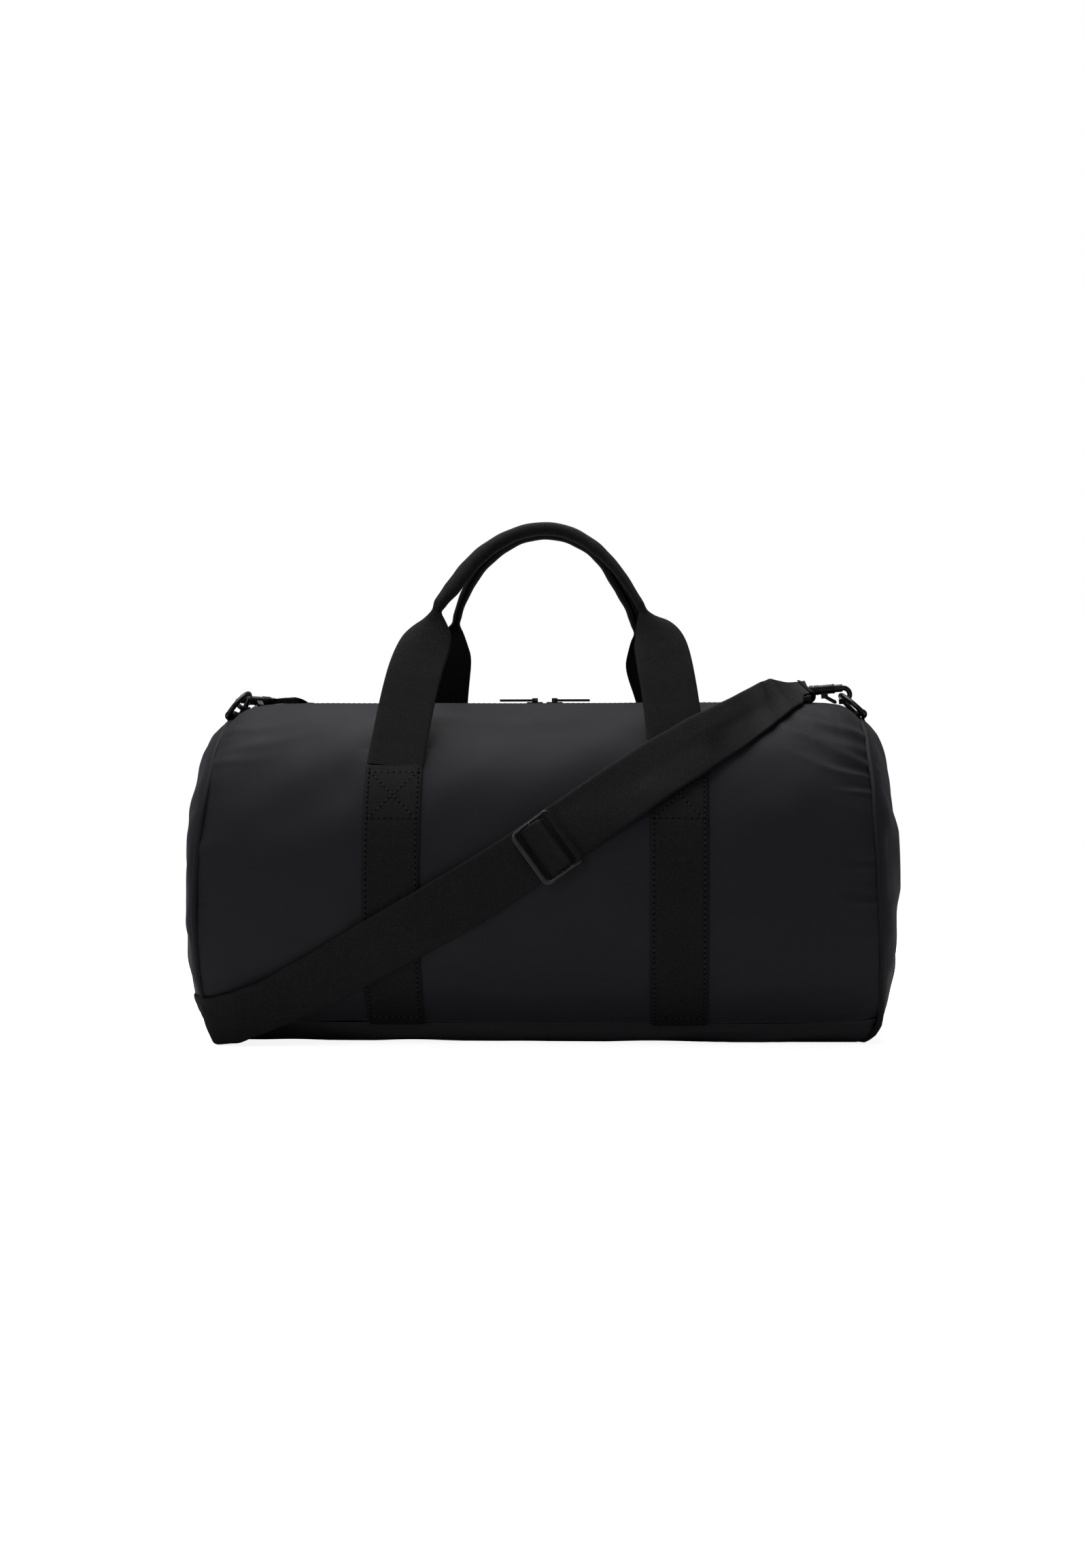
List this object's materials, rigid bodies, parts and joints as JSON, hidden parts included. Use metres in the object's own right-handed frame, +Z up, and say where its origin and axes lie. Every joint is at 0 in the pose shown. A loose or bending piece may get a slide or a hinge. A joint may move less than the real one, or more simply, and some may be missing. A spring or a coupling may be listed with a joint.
{
  "type": "duffel bag",
  "caption": "Barrel-shaped soft travel bag with a long top zip, two webbing grab handles and a clip-on adjustable shoulder strap.",
  "frame": {"origin": "centre of the flat base, on the floor", "axes": "+X along the bag's length, -Y towards the front where the strap is draped, +Z up"},
  "size_m": [0.505, 0.2551, 0.3645],
  "materials": {
    "panel": "smooth matte woven nylon",
    "base_fabric": "matte coated nylon",
    "piping": "woven binding",
    "lining": "thin coated polyester",
    "board": "sheet plastic",
    "zip_tape": "woven tape",
    "zip_coil": "nylon coil",
    "webbing": "ribbed webbing",
    "strap_webbing": "ribbed webbing",
    "dark_metal": "black coated metal",
    "slider_metal": "satin black"
  },
  "bodies": {
    "bag": {"front_panel": "panel", "rear_panel": "panel", "base_panel": "base_fabric", "left_end_panel": "panel", "right_end_panel": "panel", "left_end_piping": "piping", "right_end_piping": "piping", "lining": "lining", "base_board": "board", "zip_tape_front": "zip_tape", "zip_tape_rear": "zip_tape", "zip_coil_front": "zip_coil", "zip_coil_rear": "zip_coil", "zip_end_tabs": "webbing", "front_left_web": "webbing", "front_right_web": "webbing", "rear_left_web": "webbing", "rear_right_web": "webbing", "left_ring_tab": "webbing", "right_ring_tab": "webbing", "left_hook_eye": "dark_metal", "right_hook_eye": "dark_metal", "shoulder_strap": "strap_webbing", "strap_return_layer": "strap_webbing"},
    "front_handle": {"front_handle": "webbing"},
    "rear_handle": {"rear_handle": "webbing"},
    "zip_slider_left": {"zip_slider_left": "dark_metal"},
    "zip_slider_right": {"zip_slider_right": "dark_metal"},
    "zip_pull_left": {"zip_pull_left": "dark_metal"},
    "zip_pull_right": {"zip_pull_right": "dark_metal"},
    "left_d_ring": {"left_d_ring": "dark_metal"},
    "right_d_ring": {"right_d_ring": "dark_metal"},
    "left_hook": {"left_hook_body": "dark_metal"},
    "right_hook": {"right_hook_body": "dark_metal"},
    "left_hook_gate": {"left_hook_gate": "dark_metal"},
    "right_hook_gate": {"right_hook_gate": "dark_metal"},
    "strap_slider": {"strap_slider_frame": "slider_metal", "strap_slider_web_fold": "strap_webbing"}
  },
  "joints": [
    {"name": "front_handle_fold", "type": "hinge", "parent": "bag", "child": "front_handle", "pos_m": [0, -0.07374, 0.23655], "axis": [1, 0, 0], "range_deg": [0, 150]},
    {"name": "rear_handle_fold", "type": "hinge", "parent": "bag", "child": "rear_handle", "pos_m": [0, 0.07374, 0.23655], "axis": [-1, 0, 0], "range_deg": [0, 150]},
    {"name": "zip_left_run", "type": "slide", "parent": "bag", "child": "zip_slider_left", "axis": [-1, 0, 0], "range_m": [0, 0.16]},
    {"name": "zip_right_run", "type": "slide", "parent": "bag", "child": "zip_slider_right", "axis": [1, 0, 0], "range_m": [0, 0.125]},
    {"name": "zip_left_pull_lift", "type": "hinge", "parent": "zip_slider_left", "child": "zip_pull_left", "pos_m": [-0.007, 0, 0.2379], "axis": [0, 1, 0], "range_deg": [0, 95]},
    {"name": "zip_right_pull_lift", "type": "hinge", "parent": "zip_slider_right", "child": "zip_pull_right", "pos_m": [0.007, 0, 0.2379], "axis": [0, -1, 0], "range_deg": [0, 95]},
    {"name": "left_ring_tilt", "type": "hinge", "parent": "bag", "child": "left_d_ring", "pos_m": [-0.2239, 0, 0.2276], "axis": [0, 1, 0], "range_deg": [-1.5, 1.5]},
    {"name": "right_ring_tilt", "type": "hinge", "parent": "bag", "child": "right_d_ring", "pos_m": [0.2236, 0, 0.2276], "axis": [0, 1, 0], "range_deg": [-1.5, 1.5]},
    {"name": "left_hook_swivel", "type": "hinge", "parent": "bag", "child": "left_hook", "pos_m": [-0.20539, 0.03141, 0.23951], "axis": [-0.7747, -0.6318, 0.0255], "range_deg": [-4, 4]},
    {"name": "right_hook_swivel", "type": "hinge", "parent": "bag", "child": "right_hook", "pos_m": [0.19005, 0, 0.24433], "axis": [0.9962, 0, 0.087], "range_deg": [-4, 4]},
    {"name": "left_gate_open", "type": "hinge", "parent": "left_hook", "child": "left_hook_gate", "pos_m": [-0.20966, 0.02386, 0.23636], "axis": [-0.4741, 0.5537, -0.6846], "range_deg": [0, 10]},
    {"name": "right_gate_open", "type": "hinge", "parent": "right_hook", "child": "right_hook_gate", "pos_m": [0.19842, 0, 0.24044], "axis": [0, -1, 0], "range_deg": [0, 10]},
    {"name": "strap_slider_run", "type": "slide", "parent": "bag", "child": "strap_slider", "axis": [0.8059, 0.07, 0.5879], "range_m": [-0.025, 0.015]}
  ]
}
